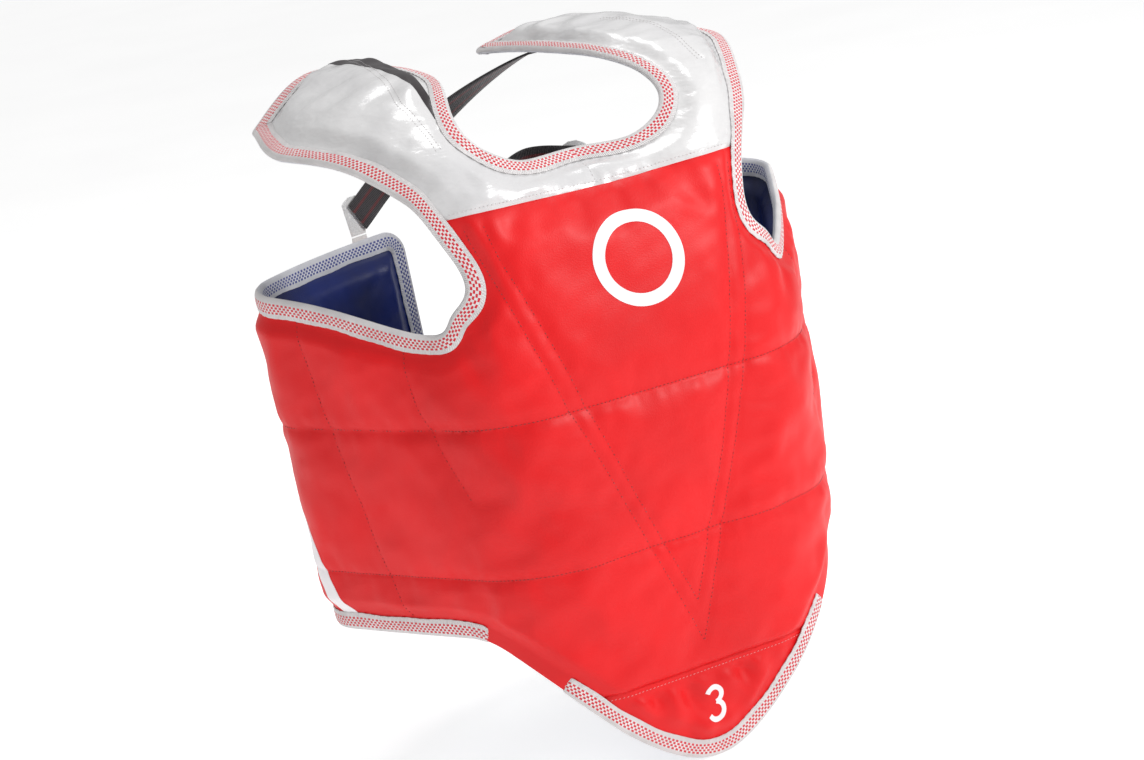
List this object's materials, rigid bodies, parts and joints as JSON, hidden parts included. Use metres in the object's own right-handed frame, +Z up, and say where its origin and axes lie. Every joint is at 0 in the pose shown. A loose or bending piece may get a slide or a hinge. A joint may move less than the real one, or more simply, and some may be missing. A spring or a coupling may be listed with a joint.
{
  "type": "martial arts trunk protector",
  "caption": "Padded wrap-round trunk protector with shoulder flaps, fold-open side wings, crossing elastic back straps and a swinging bottom flap.",
  "frame": {"origin": "middle of the flat inner chest face, where the wearer's breastbone rests", "axes": "+Z up, the wearer faces -Y (the chest's outside faces -Y), +X is the wearer's left"},
  "size_m": [0.4856, 0.3267, 0.5755],
  "materials": {
    "red_vinyl": "smooth coated fabric, soft gloss",
    "navy_vinyl": "smooth coated fabric, soft gloss",
    "white_vinyl": "glossy coated fabric",
    "foam": "closed-cell foam",
    "tape": "woven white tape with small coloured checks",
    "elastic": "ribbed woven elastic",
    "hook_tape": "hook and loop tape"
  },
  "bodies": {
    "torso": {"chest_cover": "red_vinyl", "chest_lining": "navy_vinyl", "chest_foam_lower": "foam", "chest_foam_middle": "foam", "chest_foam_upper": "foam", "right_corner_foam_lower": "foam", "right_corner_foam_middle": "foam", "right_corner_foam_upper": "foam", "left_corner_foam_lower": "foam", "left_corner_foam_middle": "foam", "left_corner_foam_upper": "foam", "yoke_cover": "white_vinyl", "yoke_lining": "white_vinyl", "yoke_foam": "foam", "neckline_binding": "tape", "right_armhole_binding": "tape", "right_hem_binding": "tape", "left_armhole_binding": "tape", "left_hem_binding": "tape"},
    "right_wing": {"right_wing_cover": "red_vinyl", "right_wing_lining": "navy_vinyl", "right_flank_foam": "foam", "right_back_corner_foam": "foam", "right_back_foam": "foam", "right_wing_binding": "tape", "right_tab_base": "hook_tape", "waist_loop_patch": "elastic"},
    "left_wing": {"left_wing_cover": "red_vinyl", "left_wing_lining": "navy_vinyl", "left_flank_foam": "foam", "left_back_corner_foam": "foam", "left_back_foam": "foam", "left_wing_binding": "tape", "left_tab_base": "hook_tape"},
    "right_shoulder": {"right_shoulder_cover": "white_vinyl", "right_shoulder_lining": "white_vinyl", "right_shoulder_foam": "foam", "right_shoulder_binding": "tape"},
    "left_shoulder": {"left_shoulder_cover": "white_vinyl", "left_shoulder_lining": "white_vinyl", "left_shoulder_foam": "foam", "left_shoulder_binding": "tape"},
    "bottom_flap": {"bottom_flap_cover": "red_vinyl", "bottom_flap_lining": "navy_vinyl", "bottom_flap_foam": "foam", "bottom_flap_binding": "tape"},
    "right_strap": {"right_back_strap": "elastic"},
    "left_strap": {"left_back_strap": "elastic"},
    "right_tab": {"right_tab": "hook_tape"},
    "left_tab": {"left_tab": "hook_tape"},
    "waist_strap": {"waist_strap": "elastic", "waist_hook_patch": "hook_tape"}
  },
  "joints": [
    {"name": "right_wing_fold", "type": "hinge", "parent": "torso", "child": "right_wing", "pos_m": [-0.1604, 0.0297, -0.025], "axis": [-0.0217, 0.0067, 0.9997], "range_deg": [0, 65], "stiffness_Nm_per_rad": 0.6},
    {"name": "left_wing_fold", "type": "hinge", "parent": "torso", "child": "left_wing", "pos_m": [0.1604, 0.0297, -0.025], "axis": [-0.0217, -0.0067, -0.9997], "range_deg": [0, 65], "stiffness_Nm_per_rad": 0.6},
    {"name": "right_shoulder_fold", "type": "hinge", "parent": "torso", "child": "right_shoulder", "pos_m": [-0.09, 0.0694, 0.3231], "axis": [1, 0, 0], "range_deg": [0, 80], "stiffness_Nm_per_rad": 0.8},
    {"name": "left_shoulder_fold", "type": "hinge", "parent": "torso", "child": "left_shoulder", "pos_m": [0.1, 0.0694, 0.3231], "axis": [1, 0, 0], "range_deg": [0, 80], "stiffness_Nm_per_rad": 0.8},
    {"name": "bottom_flap_swing", "type": "hinge", "parent": "torso", "child": "bottom_flap", "pos_m": [0, -0.0115, -0.1308], "axis": [1, 0, 0], "range_deg": [-45, 20], "stiffness_Nm_per_rad": 0.3},
    {"name": "right_strap_swing", "type": "hinge", "parent": "right_shoulder", "child": "right_strap", "pos_m": [-0.115, 0.236, 0.344], "axis": [1, 0, 0], "range_deg": [-80, 0], "stiffness_Nm_per_rad": 0.05},
    {"name": "left_strap_swing", "type": "hinge", "parent": "left_shoulder", "child": "left_strap", "pos_m": [0.085, 0.236, 0.344], "axis": [1, 0, 0], "range_deg": [-80, 0], "stiffness_Nm_per_rad": 0.05},
    {"name": "right_tab_peel", "type": "hinge", "parent": "right_wing", "child": "right_tab", "pos_m": [-0.1057, 0.2895, 0.2179], "axis": [-0.9405, -0.3397, 0], "range_deg": [0, 80], "stiffness_Nm_per_rad": 0.02},
    {"name": "left_tab_peel", "type": "hinge", "parent": "left_wing", "child": "left_tab", "pos_m": [0.1057, 0.2895, 0.2179], "axis": [-0.9405, 0.3397, 0], "range_deg": [0, 80], "stiffness_Nm_per_rad": 0.02},
    {"name": "waist_strap_swing", "type": "hinge", "parent": "left_wing", "child": "waist_strap", "pos_m": [0.092, 0.2861, -0.0001], "axis": [0, 0, -1], "range_deg": [0, 95], "stiffness_Nm_per_rad": 0.03}
  ],
  "couplings": [
    {"joint": "left_shoulder_fold", "follows": "right_shoulder_fold", "ratio": 1},
    {"joint": "right_strap_swing", "follows": "right_shoulder_fold", "ratio": -1},
    {"joint": "left_strap_swing", "follows": "right_shoulder_fold", "ratio": -1},
    {"joint": "waist_strap_swing", "follows": "right_wing_fold", "ratio": 1.4}
  ]
}
